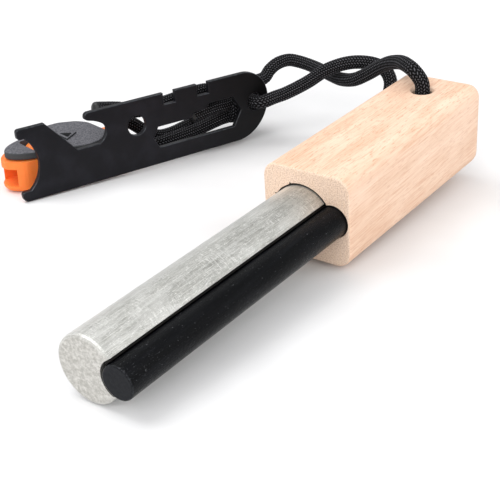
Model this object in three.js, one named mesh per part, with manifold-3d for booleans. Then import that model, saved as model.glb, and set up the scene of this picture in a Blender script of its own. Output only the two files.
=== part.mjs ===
// Fire starter: a magnesium rod and a ferro rod glued side by side into a wooden handle,
// with a steel striker and a small whistle tied on by one length of braided cord.
// Millimetres, +Z up, +X from the handle towards the tips of the rods.
import * as THREE from 'three';
import Module from 'manifold-3d';

const wasm = await Module();
wasm.setup();

// Handle: a wooden block with rounded edges.
const handleLength = 72.5;
const handleWidth = 24.5;
const handleHeight = 23.8;
const handleEdgeRadius = 3.9;
const handleBackRadius = 4.6;
const handleFrontEase = 0.5;
const cordHoleDiameter = 5.4;
const cordHoleFromBack = 13.9;
const cordHoleMouthEase = 0.6;

// Rods, measured from the middle of the handle's front face.
const magnesiumDiameter = 16;
const ferroDiameter = 8;
const rodsProud = 75.5;
const ferroLead = 0.5;
const rodsBuried = 24.5;
const magnesiumAside = -1.1;
const magnesiumRise = -0.35;
const ferroFromMagnesium = 8.6;
const ferroRise = 0.45;
const magnesiumEndEase = 0.7;
const ferroEndEase = 0.35;
const magnesiumFlatDepth = 0.35;

const rodsSplayDegrees = 0.46;
const gripLeanDegrees = 3.4;

// Glue and the gaps that pieces keep from each other.
const seatGap = 0.3;
const seamGlue = 0.35;
const seamGap = 0.25;
const socketGlue = 2.4;

// Striker: a flat steel plate with tool cut-outs. Across is along the plate, up is across its width.
const strikerWidth = 21.4;
const strikerLength = 82.6;
const strikerThickness = 1.6;
const strikerEdgeBevel = 0.2;
const endLowerRadius = 12.3;
const hookNoseLength = 1.1;
const hookNoseDepth = 3;
const hookMouthRadius = 9.9;
const hookMouthDepth = 4.4;
const toeLength = 1.9;
const toeHeight = 3.1;
const slopeStart = 7.4;
const ledgeStart = 16.4;
const ledgeEnd = 23.4;
const ledgeHeight = 11.3;
const openerBackAcross = 26.1;
const openerLipAcross = 19.6;
const openerLipDrop = 1.5;
const notchWidth = 4;
const notchDepth = 3.55;
const firstNotchAcross = 45.4;
const notchLand = 7.7;
const smallHoleDiameter = 6;
const smallHoleAcross = 35.9;
const smallHoleUp = 13.7;
const tetherHoleDiameter = 5.6;
const tetherHoleAcross = 77.7;
const tetherHoleUp = 11.3;
const wrenchBottom = 5.1;
const wrenchStart = 41;
const wrenchEndLand = 2.6;
const smallWrenchFlats = 6.4;
const middleWrenchFlats = 8;
const largeWrenchFlats = 9.6;
const middleWrenchStart = 54.6;
const largeWrenchStart = 60;
const cornerRound = 1;

// Where the striker stands: its lower left corner, its heading, its small rise and its lean.
const strikerX = 11.35;
const strikerY = -85.5;
const strikerHeadingDegrees = 160.2;
const strikerRiseDegrees = 1.5;
const strikerLeanDegrees = 1;

// Whistle: an orange body and a grey cover. Along runs from the mouth end to the eye.
const whistleLength = 32.9;
const whistleWidth = 22.6;
const whistleBodyHeight = 9.4;
const whistleWall = 1.6;
const whistleFloor = 1.8;
const whistleFootRound = 2;
const noseTipWidth = 2;
const noseLength = 5.2;
const noseWidth = 11.8;
const flareLength = 4.2;
const flareRise = 0.5;
const whistleWideLength = 5.4;
const whistleTaperLength = 7.1;
const whistleEndWidth = 12.6;
const tailRound = 2.6;
const coverThickness = 2.1;
const coverInset = 0.4;
const coverSetback = 1.2;
const coverTipWidth = 1.2;
const coverNoseLength = 6.1;
const coverNoseWidth = 11.8;
const coverFlareRise = 1.3;
const coverEdgeRound = 0.4;
const inletWidth = 7.8;
const inletHeight = 5.1;
const inletFloor = 2.1;
const inletLength = 8.4;
const riserLength = 1.6;
const riserWidth = 6;
const windwayWidth = 5.4;
const windwayHeight = 1.3;
const chamberStart = 16.9;
const chamberEnd = 29.9;
const windowAlong = 7.8;
const windowLength = 4.6;
const windowWidth = 9.4;
const windowCorner = 1;
const rampStart = 9;
const rampDrop = 0.5;
const portAlong = 20;
const portAside = -1.1;
const portLength = 2.6;
const portWidth = 4.6;
const lipWidth = 0.9;
const lipHeight = 0.5;
const eyeReach = 4.4;
const eyeHoleDiameter = 5.8;
const eyeWall = 2.2;
const eyeThickness = 3;
const whistleX = 10.07;
const whistleY = -96.656;
const whistleHeadingDegrees = 167.6;

// Cord.
const cordDiameter = 4.2;
const knotDiameter = 14.4;
const knotLength = 12.4;
const knotEndRound = 2.4;
const knotAcross = 78;
const knotUp = 9.8;
const knotBehind = 10.6;
const cordInset = 1.2;
const cordProud = 0.4;

// Mesh fineness and how far a cutter runs past what it cuts.
const roundSides = 48;
const cornerSteps = 6;
const cordSides = 10;
const whistleSteps = 8;
const footSteps = 4;
const overrun = 1;

const halfTurn = Math.PI;
const quarterTurn = Math.PI / 2;

// Materials.
function material(color, roughness, metalness) {
  return new THREE.MeshStandardMaterial({ color, roughness, metalness });
}
const woodMaterial = material(0xe3bf98, 0.62, 0);
const magnesiumMaterial = material(0xb9b9b4, 0.45, 0.9);
const ferroMaterial = material(0x17181b, 0.35, 0.3);
const glueMaterial = material(0x121212, 0.5, 0);
const strikerMaterial = material(0x202124, 0.5, 0.6);
const whistleMaterial = material(0xf26a1b, 0.45, 0);
const coverMaterial = material(0x4c4c50, 0.7, 0);
const cordMaterial = material(0x141416, 0.9, 0);

// Booleans on closed geometries.
function toManifold(geometry) {
  const plain = geometry.index ? geometry.toNonIndexed() : geometry;
  const positions = plain.attributes.position.array;
  const keys = new Map();
  const vertices = [];
  const triangles = [];
  const grain = 1e4;
  for (let i = 0; i < positions.length; i += 3) {
    const point = [positions[i], positions[i + 1], positions[i + 2]];
    const key = point.map((value) => Math.round(value * grain)).join();
    if (!keys.has(key)) {
      keys.set(key, vertices.length / 3);
      vertices.push(...point);
    }
    triangles.push(keys.get(key));
  }
  const kept = [];
  for (let i = 0; i < triangles.length; i += 3) {
    const [a, b, c] = triangles.slice(i, i + 3);
    if (a !== b && b !== c && c !== a) kept.push(a, b, c);
  }
  const mesh = new wasm.Mesh({
    numProp: 3,
    vertProperties: new Float32Array(vertices),
    triVerts: new Uint32Array(kept),
  });
  return new wasm.Manifold(mesh);
}

function toGeometry(solid) {
  const mesh = solid.getMesh();
  const geometry = new THREE.BufferGeometry();
  const positions = new Float32Array(mesh.numVert * 3);
  for (let i = 0; i < mesh.numVert; i += 1) {
    for (let k = 0; k < 3; k += 1) {
      positions[i * 3 + k] = mesh.vertProperties[i * mesh.numProp + k];
    }
  }
  geometry.setAttribute('position', new THREE.BufferAttribute(positions, 3));
  geometry.setIndex(new THREE.BufferAttribute(new Uint32Array(mesh.triVerts), 1));
  geometry.computeVertexNormals();
  return geometry;
}

function cutAll(geometry, cutters) {
  let solid = toManifold(geometry);
  for (const cutter of cutters) solid = solid.subtract(toManifold(cutter));
  return toGeometry(solid);
}

// A round bar along +X from start to end.
function barAlongX(radius, start, end) {
  const bar = new THREE.CylinderGeometry(radius, radius, end - start, roundSides);
  bar.rotateZ(quarterTurn);
  bar.translate((start + end) / 2, 0, 0);
  return bar;
}

// A round bar along +Z from low to high.
function barAlongZ(radius, low, high) {
  const bar = new THREE.CylinderGeometry(radius, radius, high - low, roundSides);
  bar.rotateX(quarterTurn);
  bar.translate(0, 0, (low + high) / 2);
  return bar;
}

// A rod along +X with eased ends, turned from its profile.
function rod(radius, start, end, ease) {
  const profile = [
    new THREE.Vector2(0, start),
    new THREE.Vector2(radius - ease, start),
    new THREE.Vector2(radius, start + ease),
    new THREE.Vector2(radius, end - ease),
    new THREE.Vector2(radius - ease * 0.3, end - ease * 0.3),
    new THREE.Vector2(radius - ease, end),
    new THREE.Vector2(0, end),
  ];
  const turned = new THREE.LatheGeometry(profile, roundSides);
  turned.rotateZ(-quarterTurn);
  return turned;
}

// A box from its low corner to its high corner.
function boxBetween(low, high) {
  const size = high.map((value, i) => value - low[i]);
  const box = new THREE.BoxGeometry(...size);
  box.translate(...low.map((value, i) => value + size[i] / 2));
  return box;
}

// Joins rings of equal point counts into one closed skin with flat ends.
function loft(rings) {
  const count = rings[0].length;
  const points = rings.flat();
  const index = [];
  for (let r = 0; r + 1 < rings.length; r += 1) {
    for (let i = 0; i < count; i += 1) {
      const j = (i + 1) % count;
      const a = r * count;
      const b = a + count;
      index.push(a + i, a + j, b + j, a + i, b + j, b + i);
    }
  }
  const last = (rings.length - 1) * count;
  for (let i = 1; i + 1 < count; i += 1) {
    index.push(0, i + 1, i);
    index.push(last, last + i, last + i + 1);
  }
  const geometry = new THREE.BufferGeometry();
  geometry.setAttribute('position', new THREE.Float32BufferAttribute(points.flat(), 3));
  geometry.setIndex(index);
  geometry.computeVertexNormals();
  return geometry;
}

// Handle.
function handleRing(x, inset) {
  const radius = Math.max(handleEdgeRadius - inset, handleEdgeRadius / 3);
  const y = handleWidth / 2 - inset - radius;
  const z = handleHeight / 2 - inset - radius;
  const ring = [];
  const corners = [[y, z], [-y, z], [-y, -z], [y, -z]];
  corners.forEach(([cy, cz], corner) => {
    for (let step = 0; step <= cornerSteps; step += 1) {
      const turn = (corner + step / cornerSteps) * quarterTurn;
      ring.push([x, cy + radius * Math.cos(turn), cz + radius * Math.sin(turn)]);
    }
  });
  return ring;
}

function handleBlock() {
  const rings = [];
  for (let step = 0; step <= cornerSteps; step += 1) {
    const turn = (step / cornerSteps) * quarterTurn;
    const inset = handleBackRadius * (1 - Math.sin(turn));
    rings.push(handleRing(-handleLength + handleBackRadius * (1 - Math.cos(turn)), inset));
  }
  rings.push(handleRing(-handleFrontEase, 0));
  rings.push(handleRing(-handleFrontEase * 0.3, handleFrontEase * 0.3));
  rings.push(handleRing(0, handleFrontEase));
  return loft(rings);
}

const cordHoleX = cordHoleFromBack - handleLength;
const ferroAside = magnesiumAside + ferroFromMagnesium;
const socketDepth = rodsBuried + socketGlue + 2 * seatGap;

function socketCutter(radius, aside, rise) {
  const cutter = barAlongX(radius + seatGap, -socketDepth, overrun);
  cutter.translate(0, aside, rise);
  return cutter;
}

// A drilled hole down through the handle, with eased mouths.
function cordHoleCutter() {
  const radius = cordHoleDiameter / 2;
  const half = handleHeight / 2;
  const profile = [
    new THREE.Vector2(0, -half - overrun),
    new THREE.Vector2(radius + cordHoleMouthEase + overrun, -half - overrun),
    new THREE.Vector2(radius, -half + cordHoleMouthEase),
    new THREE.Vector2(radius, half - cordHoleMouthEase),
    new THREE.Vector2(radius + cordHoleMouthEase + overrun, half + overrun),
    new THREE.Vector2(0, half + overrun),
  ];
  const cutter = new THREE.LatheGeometry(profile, roundSides);
  cutter.rotateX(quarterTurn);
  cutter.translate(cordHoleX, 0, 0);
  return cutter;
}

function handleGeometry() {
  return cutAll(handleBlock(), [
    socketCutter(magnesiumDiameter / 2, magnesiumAside, magnesiumRise),
    socketCutter(ferroDiameter / 2, ferroAside, ferroRise + magnesiumRise),
    cordHoleCutter(),
  ]);
}

// Rods. The ferro rod lies in a groove milled along the magnesium rod.
const grooveRadius = ferroDiameter / 2 + seamGlue + 2 * seamGap;

function magnesiumGeometry() {
  const radius = magnesiumDiameter / 2;
  const bar = rod(radius, -rodsBuried, rodsProud, magnesiumEndEase);
  const groove = barAlongX(grooveRadius, -rodsBuried - overrun, rodsProud + overrun);
  groove.translate(0, ferroFromMagnesium, ferroRise);
  const flat = boxBetween(
    [-seatGap, -radius, -radius - overrun],
    [rodsProud + overrun, radius, -radius + magnesiumFlatDepth],
  );
  flat.rotateX(-quarterTurn / 2);
  const solid = cutAll(bar, [groove, flat]);
  solid.translate(0, magnesiumAside, magnesiumRise);
  return solid;
}

function ferroGeometry() {
  const bar = rod(ferroDiameter / 2, -rodsBuried, rodsProud + ferroLead, ferroEndEase);
  bar.translate(0, ferroAside, ferroRise + magnesiumRise);
  return bar;
}

// The line of glue in the groove: a thin arc, as long as the groove.
function seamGlueGeometry() {
  const inner = ferroDiameter / 2 + seamGap;
  const outer = inner + seamGlue;
  const reach = Math.acos(ferroFromMagnesium / magnesiumDiameter);
  const arc = new THREE.Shape();
  arc.absarc(0, 0, outer, halfTurn - reach, halfTurn + reach, false);
  arc.absarc(0, 0, inner, halfTurn + reach, halfTurn - reach, true);
  const length = rodsProud + rodsBuried - magnesiumEndEase;
  const glue = new THREE.ExtrudeGeometry(arc, { depth: length, bevelEnabled: false, curveSegments: cornerSteps });
  glue.applyMatrix4(new THREE.Matrix4().makeBasis(
    new THREE.Vector3(0, 1, 0), new THREE.Vector3(0, 0, 1), new THREE.Vector3(1, 0, 0),
  ));
  glue.translate(-rodsBuried, ferroAside, ferroRise + magnesiumRise);
  return glue;
}

// The glue that fills the bottom of the socket, behind the rods.
function socketGlueGeometry() {
  const start = -socketDepth + seatGap;
  const end = start + socketGlue;
  const large = barAlongX(magnesiumDiameter / 2, start, end);
  large.translate(0, magnesiumAside, magnesiumRise);
  const small = barAlongX(ferroDiameter / 2, start, end);
  small.translate(0, ferroAside, ferroRise + magnesiumRise);
  return toGeometry(toManifold(large).add(toManifold(small)));
}

// Striker outline, drawn along the plate from its lower left corner.
function strikerOutline() {
  const shape = new THREE.Shape();
  const top = strikerWidth;
  const mouthMiddle = (toeHeight + top - hookNoseDepth) / 2;
  const mouthCentre = hookMouthDepth - hookMouthRadius;
  const mouthHalf = Math.asin((top - hookNoseDepth - mouthMiddle) / hookMouthRadius);
  const endCentre = strikerLength - endLowerRadius;
  const endUpperRadius = top - endLowerRadius;
  shape.moveTo(0, 0);
  shape.lineTo(endCentre, 0);
  shape.absarc(endCentre, endLowerRadius, endLowerRadius, -quarterTurn, 0, false);
  shape.absarc(strikerLength - endUpperRadius, endLowerRadius, endUpperRadius, 0, quarterTurn, false);
  const secondNotchAcross = firstNotchAcross + notchWidth + notchLand;
  for (const start of [secondNotchAcross, firstNotchAcross]) {
    shape.lineTo(start + notchWidth, top);
    shape.lineTo(start + notchWidth, top - notchDepth);
    shape.lineTo(start, top - notchDepth);
    shape.lineTo(start, top);
  }
  openerOutline(shape, top);
  shape.lineTo(slopeStart, top);
  shape.lineTo(-hookNoseLength + cornerRound, top);
  shape.quadraticCurveTo(-hookNoseLength, top, -hookNoseLength, top - cornerRound);
  shape.lineTo(-hookNoseLength, top - hookNoseDepth + cornerRound);
  shape.quadraticCurveTo(-hookNoseLength, top - hookNoseDepth, 0, top - hookNoseDepth);
  shape.absarc(mouthCentre, mouthMiddle, hookMouthRadius, mouthHalf, -mouthHalf, true);
  shape.lineTo(-toeLength + cornerRound, toeHeight);
  shape.quadraticCurveTo(-toeLength, toeHeight, -toeLength, toeHeight - cornerRound);
  shape.quadraticCurveTo(-toeLength, 0, 0, 0);
  return shape;
}

// The bottle opener: a curled lip, the recess under it, the ledge and the slope up to the hook.
function openerOutline(shape, top) {
  const lipBase = top - openerLipDrop;
  const recess = openerBackAcross - openerLipAcross;
  shape.lineTo(openerLipAcross + openerLipDrop, top);
  shape.quadraticCurveTo(openerLipAcross, top, openerLipAcross, lipBase);
  shape.quadraticCurveTo(openerLipAcross, lipBase - openerLipDrop / 2, openerLipAcross + openerLipDrop, top - 2 * openerLipDrop + openerLipDrop / 4);
  shape.bezierCurveTo(
    openerLipAcross + recess / 2, top - 2 * openerLipDrop,
    openerBackAcross, top - 3 * openerLipDrop,
    openerBackAcross, top - 4 * openerLipDrop,
  );
  shape.quadraticCurveTo(openerBackAcross, ledgeHeight + openerLipDrop, ledgeEnd, ledgeHeight);
  shape.lineTo(ledgeStart, ledgeHeight);
}

// The stepped wrench slot: three hexagon ends that share one straight lower edge.
function wrenchHole() {
  const slot = new THREE.Path();
  const wrenchEnd = tetherHoleAcross - tetherHoleDiameter / 2 - wrenchEndLand;
  const flare = 1 / Math.tan(halfTurn / 3);
  const small = wrenchBottom + smallWrenchFlats;
  const middle = wrenchBottom + middleWrenchFlats;
  const large = wrenchBottom + largeWrenchFlats;
  const smallPoint = (smallWrenchFlats / 2) * flare;
  const largePoint = (largeWrenchFlats / 2) * flare;
  slot.moveTo(wrenchStart, wrenchBottom + smallWrenchFlats / 2);
  slot.lineTo(wrenchStart + smallPoint, small);
  slot.lineTo(middleWrenchStart, small);
  slot.lineTo(middleWrenchStart + (middle - small) * flare, middle);
  slot.lineTo(largeWrenchStart, middle);
  slot.lineTo(largeWrenchStart + (large - middle) * flare, large);
  slot.lineTo(wrenchEnd - largePoint, large);
  slot.lineTo(wrenchEnd, wrenchBottom + largeWrenchFlats / 2);
  slot.lineTo(wrenchEnd - largePoint, wrenchBottom);
  slot.lineTo(wrenchStart + smallPoint, wrenchBottom);
  slot.closePath();
  return slot;
}

function roundHole(across, up, diameter) {
  const hole = new THREE.Path();
  hole.absarc(across, up, diameter / 2, 0, 2 * halfTurn, true);
  return hole;
}

function strikerGeometry() {
  const shape = strikerOutline();
  shape.holes.push(wrenchHole());
  shape.holes.push(roundHole(smallHoleAcross, smallHoleUp, smallHoleDiameter));
  shape.holes.push(roundHole(tetherHoleAcross, tetherHoleUp, tetherHoleDiameter));
  const plate = new THREE.ExtrudeGeometry(shape, {
    depth: strikerThickness - 2 * strikerEdgeBevel,
    bevelThickness: strikerEdgeBevel,
    bevelSize: strikerEdgeBevel,
    bevelOffset: -strikerEdgeBevel,
    bevelSegments: 1,
    curveSegments: 2 * cornerSteps,
  });
  plate.translate(0, 0, strikerEdgeBevel - strikerThickness);
  return plate;
}

// The striker's own axes: across, up and out of its front face.
function strikerFrame() {
  const heading = THREE.MathUtils.degToRad(strikerHeadingDegrees);
  const rise = THREE.MathUtils.degToRad(strikerRiseDegrees);
  const lean = THREE.MathUtils.degToRad(strikerLeanDegrees);
  const across = new THREE.Vector3(
    Math.cos(rise) * Math.cos(heading), Math.cos(rise) * Math.sin(heading), Math.sin(rise),
  );
  const back = new THREE.Vector3(-Math.sin(heading), Math.cos(heading), 0);
  const upright = new THREE.Vector3().crossVectors(across, back).negate();
  if (upright.z < 0) upright.negate();
  const away = back.y > 0 ? back.clone().negate() : back;
  const up = upright.multiplyScalar(Math.cos(lean)).addScaledVector(away, Math.sin(lean));
  const out = new THREE.Vector3().crossVectors(across, up).normalize();
  return new THREE.Matrix4().makeBasis(across, up, out).setPosition(strikerX, strikerY, 0);
}

// Whistle outline, seen from above: a blunt mouth end, flared sides and a narrowed tail.
// Each mouth end has its own start, tip, length, width and rise, and shares for its bends.
const bodyNose = {
  start: 0,
  tip: noseTipWidth / 2,
  length: noseLength,
  half: noseWidth / 2,
  rise: flareRise,
  lengthShares: [0.58, 0.02],
  halfShares: [0.95, 0.37],
};
const coverNose = {
  start: coverSetback,
  tip: coverTipWidth / 2,
  length: coverNoseLength,
  half: coverNoseWidth / 2,
  rise: coverFlareRise,
  lengthShares: [0.47, 0.06],
  halfShares: [0.8, 0.42],
};

const whistleWideEnd = whistleLength - whistleTaperLength;
const whistleWideStart = whistleWideEnd - whistleWideLength;

function whistleOutline(nose, inset) {
  const shape = new THREE.Shape();
  const half = whistleWidth / 2 - inset;
  const end = whistleLength - inset;
  const tail = whistleEndWidth / 2 - inset / 2;
  const cheek = nose.start + nose.length;
  const [cheekBend, tipBend] = nose.lengthShares.map((share) => nose.start + nose.length * share);
  const [cheekSide, tipSide] = nose.halfShares.map((share) => nose.half * share);
  shape.moveTo(cheek, -nose.half);
  shape.quadraticCurveTo(cheek + flareLength, -nose.half - nose.rise, whistleWideStart, -half);
  shape.quadraticCurveTo((whistleWideStart + whistleWideEnd) / 2, -half - flareRise, whistleWideEnd, -half);
  shape.lineTo(end - tailRound, -tail - tailRound);
  shape.quadraticCurveTo(end, -tail, end, -tail + tailRound);
  shape.lineTo(end, tail - tailRound);
  shape.quadraticCurveTo(end, tail, end - tailRound, tail + tailRound);
  shape.lineTo(whistleWideEnd, half);
  shape.quadraticCurveTo((whistleWideStart + whistleWideEnd) / 2, half + flareRise, whistleWideStart, half);
  shape.quadraticCurveTo(cheek + flareLength, nose.half + nose.rise, cheek, nose.half);
  shape.bezierCurveTo(cheekBend, cheekSide, tipBend, tipSide, nose.start, nose.tip);
  shape.lineTo(nose.start, -nose.tip);
  shape.bezierCurveTo(tipBend, -tipSide, cheekBend, -cheekSide, cheek, -nose.half);
  return shape;
}

// The chamber's outline: the whistle's own, drawn in by the wall and cut off at both ends.
function chamberCutter() {
  const half = whistleWidth / 2 - whistleWall;
  const tail = whistleEndWidth / 2;
  const chamber = new THREE.Shape([
    new THREE.Vector2(chamberStart, -half + whistleWall),
    new THREE.Vector2(whistleWideStart, -half),
    new THREE.Vector2(whistleWideEnd, -half),
    new THREE.Vector2(chamberEnd, -tail),
    new THREE.Vector2(chamberEnd, tail),
    new THREE.Vector2(whistleWideEnd, half),
    new THREE.Vector2(whistleWideStart, half),
    new THREE.Vector2(chamberStart, half - whistleWall),
  ]);
  const cutter = new THREE.ExtrudeGeometry(chamber, {
    depth: whistleBodyHeight - whistleFloor + overrun, bevelEnabled: false,
  });
  cutter.translate(0, 0, whistleFloor);
  return cutter;
}

const eyeMiddle = whistleLength + eyeReach;
const eyeLow = (whistleBodyHeight - eyeThickness) / 2 + 2 * windwayHeight - seatGap;
const coverLow = whistleBodyHeight + seatGap;

function whistleBodyGeometry() {
  const shell = new THREE.ExtrudeGeometry(whistleOutline(bodyNose, 0), {
    depth: whistleBodyHeight,
    bevelThickness: whistleFootRound,
    bevelSize: whistleFootRound,
    bevelOffset: -whistleFootRound,
    bevelSegments: footSteps,
    curveSegments: whistleSteps,
  });
  shell.translate(0, 0, whistleFootRound);
  const above = boxBetween(
    [-whistleLength, -whistleWidth, whistleBodyHeight],
    [2 * whistleLength, whistleWidth, 2 * whistleBodyHeight],
  );
  const inlet = boxBetween(
    [-overrun, -inletWidth / 2, inletFloor],
    [inletLength, inletWidth / 2, inletFloor + inletHeight],
  );
  const riser = boxBetween(
    [inletLength - riserLength, -riserWidth / 2, inletFloor + inletHeight - windwayHeight],
    [inletLength, riserWidth / 2, whistleBodyHeight + overrun],
  );
  const windway = boxBetween(
    [inletLength - riserLength, -windwayWidth / 2, whistleBodyHeight - windwayHeight],
    [chamberStart + overrun, windwayWidth / 2, whistleBodyHeight + overrun],
  );
  const outer = eyeHoleDiameter / 2 + eyeWall;
  const ring = barAlongZ(outer, eyeLow, eyeLow + eyeThickness);
  ring.translate(eyeMiddle, 0, 0);
  const web = boxBetween(
    [whistleLength - whistleWall, -outer, eyeLow], [eyeMiddle, outer, eyeLow + eyeThickness],
  );
  const hole = barAlongZ(eyeHoleDiameter / 2, eyeLow - overrun, eyeLow + eyeThickness + overrun);
  hole.translate(eyeMiddle, 0, 0);
  const hollow = toManifold(cutAll(shell, [above, chamberCutter(), inlet, riser, windway]));
  const eye = toManifold(ring).add(toManifold(web)).subtract(toManifold(hole));
  return toGeometry(hollow.add(eye).add(toManifold(rampGeometry())));
}

// The ramp that stands up in the cover's window and splits the air.
function rampGeometry() {
  const end = windowAlong + windowLength - seatGap;
  const side = new THREE.Shape([
    new THREE.Vector2(rampStart, whistleBodyHeight - seatGap),
    new THREE.Vector2(end, whistleBodyHeight - seatGap),
    new THREE.Vector2(end, coverLow + coverThickness - rampDrop),
    new THREE.Vector2(rampStart, whistleBodyHeight),
  ]);
  const width = windowWidth - 2 * seatGap;
  const ramp = new THREE.ExtrudeGeometry(side, { depth: width, bevelEnabled: false });
  ramp.rotateX(quarterTurn);
  ramp.translate(0, width / 2, 0);
  return ramp;
}

// The grey cover: a plate that closes the whistle, with the window for the ramp,
// and a small port with a raised lip.
function coverGeometry() {
  const plate = new THREE.ExtrudeGeometry(whistleOutline(coverNose, coverInset), {
    depth: coverThickness - 2 * coverEdgeRound,
    bevelThickness: coverEdgeRound,
    bevelSize: coverEdgeRound,
    bevelOffset: -coverEdgeRound,
    bevelSegments: 2,
    curveSegments: whistleSteps,
  });
  plate.translate(0, 0, coverLow + coverEdgeRound);
  const top = coverLow + coverThickness;
  const portEnd = portAlong + portLength;
  const lipShape = new THREE.Shape([
    new THREE.Vector2(portAlong - lipWidth, -portWidth / 2 - lipWidth),
    new THREE.Vector2(portEnd + 2 * lipWidth, 0),
    new THREE.Vector2(portAlong - lipWidth, portWidth / 2 + lipWidth),
  ]);
  const lip = new THREE.ExtrudeGeometry(lipShape, { depth: lipHeight + coverEdgeRound, bevelEnabled: false });
  lip.translate(0, portAside, top - coverEdgeRound);
  const portShape = new THREE.Shape([
    new THREE.Vector2(portAlong, -portWidth / 2),
    new THREE.Vector2(portEnd, -seatGap),
    new THREE.Vector2(portEnd, seatGap),
    new THREE.Vector2(portAlong, portWidth / 2),
  ]);
  const port = new THREE.ExtrudeGeometry(portShape, {
    depth: coverThickness + lipHeight + 2 * overrun, bevelEnabled: false,
  });
  port.translate(0, portAside, coverLow - overrun);
  const side = windowWidth / 2;
  const windowShape = new THREE.Shape([
    new THREE.Vector2(windowAlong, -side + windowCorner),
    new THREE.Vector2(windowAlong + windowCorner, -side),
    new THREE.Vector2(windowAlong + windowLength, -side),
    new THREE.Vector2(windowAlong + windowLength, side),
    new THREE.Vector2(windowAlong + windowCorner, side),
    new THREE.Vector2(windowAlong, side - windowCorner),
  ]);
  const window = new THREE.ExtrudeGeometry(windowShape, {
    depth: coverThickness + 2 * overrun, bevelEnabled: false,
  });
  window.translate(0, 0, coverLow - overrun);
  const solid = toManifold(plate).add(toManifold(lip));
  return toGeometry(solid.subtract(toManifold(port)).subtract(toManifold(window)));
}

// Places the whistle on the floor, at its heading.
function whistleFrame() {
  const heading = THREE.MathUtils.degToRad(whistleHeadingDegrees);
  return new THREE.Matrix4().makeRotationZ(heading).setPosition(whistleX, whistleY, 0);
}

// Cord routes, as points along the middle of the cord.
// Over the handle and across to the knot.
const topStrandRoute = [
  [-57.7, 0.0, 29.1],
  [-57.7, 0.0, 29.8],
  [-57.6, -0.6, 31.2],
  [-57.5, -2.4, 33.2],
  [-59.6, -5.9, 33.9],
  [-63.2, -10.0, 33.2],
  [-66.0, -14.7, 31.6],
  [-68.1, -19.1, 29.2],
  [-69.4, -23.9, 26.0],
  [-70.8, -29.2, 23.0],
  [-74.0, -35.6, 21.1],
  [-78.8, -42.2, 20.0],
  [-82.6, -48.3, 19.6],
  [-84.5, -53.4, 19.8],
  [-84.6, -58.1, 20.4],
  [-82.8, -61.2, 21.0],
  [-78.7, -62.9, 20.6],
  [-75.7, -63.8, 19.1],
  [-73.3, -64.3, 17.1],
  [-71.2, -65.1, 16.7],
];
// Out of the bottom of the hole and away under the handle.
const underHandleRoute = [
  [-59.1, 0.0, 5.1],
  [-59.2, 0.0, 4.6],
  [-59.2, -0.8, 3.1],
  [-59.3, -2.6, 2.2],
  [-59.4, -5.0, 2.15],
  [-60.2, -9.0, 2.15],
  [-62.0, -13.6, 2.4],
  [-64.0, -16.6, 3.3],
  [-64.8, -17.2, 3.9],
];
// Up behind the handle, across to the striker and through its end hole.
const bottomStrandRoute = [
  [-65.1, -17.4, 4.1],
  [-66.0, -18.1, 4.8],
  [-68.3, -19.3, 8.0],
  [-71.4, -19.7, 13.3],
  [-73.8, -19.2, 18.0],
  [-75.6, -19.6, 22.0],
  [-77.4, -22.5, 25.1],
  [-76.7, -25.7, 26.7],
  [-75.7, -29.0, 27.2],
  [-73.9, -31.7, 27.1],
  [-72.3, -34.6, 26.4],
  [-71.4, -38.7, 24.6],
  [-69.8, -42.1, 22.2],
  [-69.3, -45.7, 19.5],
  [-68.7, -48.7, 17.4],
  [-67.0, -51.9, 15.7],
  [-65.6, -54.4, 14.6],
  [-62.9, -55.9, 14.2],
  [-62.5, -56.5, 13.3],
  [-61.7, -57.8, 13.3],
  [-61.6, -59.4, 13.3],
  [-62.1, -61.0, 13.3],
  [-62.6, -62.4, 13.3],
];
// From the knot through the whistle's eye and back.
const whistleLoopRoute = [
  [-60.0, -73.8, 8.5],
  [-58.8, -74.2, 8.5],
  [-56.8, -74.5, 8.0],
  [-52.3, -76.2, 6.5],
  [-48.2, -77.9, 5.3],
  [-43.9, -79.7, 4.3],
  [-40.1, -81.4, 4.3],
  [-36.7, -82.9, 6.0],
  [-32.9, -84.6, 9.5],
  [-30.4, -86.1, 11.4],
  [-27.8, -87.4, 11.0],
  [-26.3, -88.1, 9.3],
  [-25.8, -88.4, 7.0],
  [-26.3, -88.1, 4.7],
  [-27.8, -87.4, 3.0],
  [-29.9, -86.3, 2.3],
  [-32.8, -82.6, 2.7],
  [-35.3, -78.6, 3.7],
  [-39.4, -76.4, 4.3],
  [-44.2, -74.6, 4.8],
  [-48.7, -73.0, 5.4],
  [-57.2, -69.8, 7.1],
  [-58.5, -69.4, 7.1],
];
// The cut end, along the back of the striker.
const tailRoute = [
  [-58.4, -69.8, 16.2],
  [-57.1, -70.2, 16.3],
  [-54.1, -70.1, 17.3],
  [-48.5, -70.0, 18.8],
  [-41.8, -72.1, 18.5],
  [-34.3, -74.8, 17.7],
  [-27.5, -78.0, 16.9],
  [-21.9, -80.3, 18.8],
  [-17.6, -81.8, 19.8],
  [-13.8, -83.2, 20.5],
];
// The other cut end, a short one behind the wrench slot.
const secondTailRoute = [
  [-57.7, -67.6, 12.0],
  [-56.5, -68.1, 12.0],
  [-53.0, -68.9, 12.1],
  [-48.2, -70.2, 11.8],
  [-43.5, -71.8, 11.1],
];
// A stretch of cord, with one ring at each point of its route.
function cordGeometry(route) {
  const curve = new THREE.CatmullRomCurve3(route.map((point) => new THREE.Vector3(...point)));
  curve.getPointAt = curve.getPoint;
  curve.getTangentAt = curve.getTangent;
  curve.getSpacedPoints = curve.getPoints;
  const section = new THREE.Shape();
  for (let side = 0; side < cordSides; side += 1) {
    const turn = (side / cordSides) * 2 * halfTurn;
    const across = (cordDiameter / 2) * Math.cos(turn);
    const up = (cordDiameter / 2) * Math.sin(turn);
    if (side === 0) section.moveTo(across, up);
    else section.lineTo(across, up);
  }
  return new THREE.ExtrudeGeometry(section, { steps: route.length - 1, extrudePath: curve });
}

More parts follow.
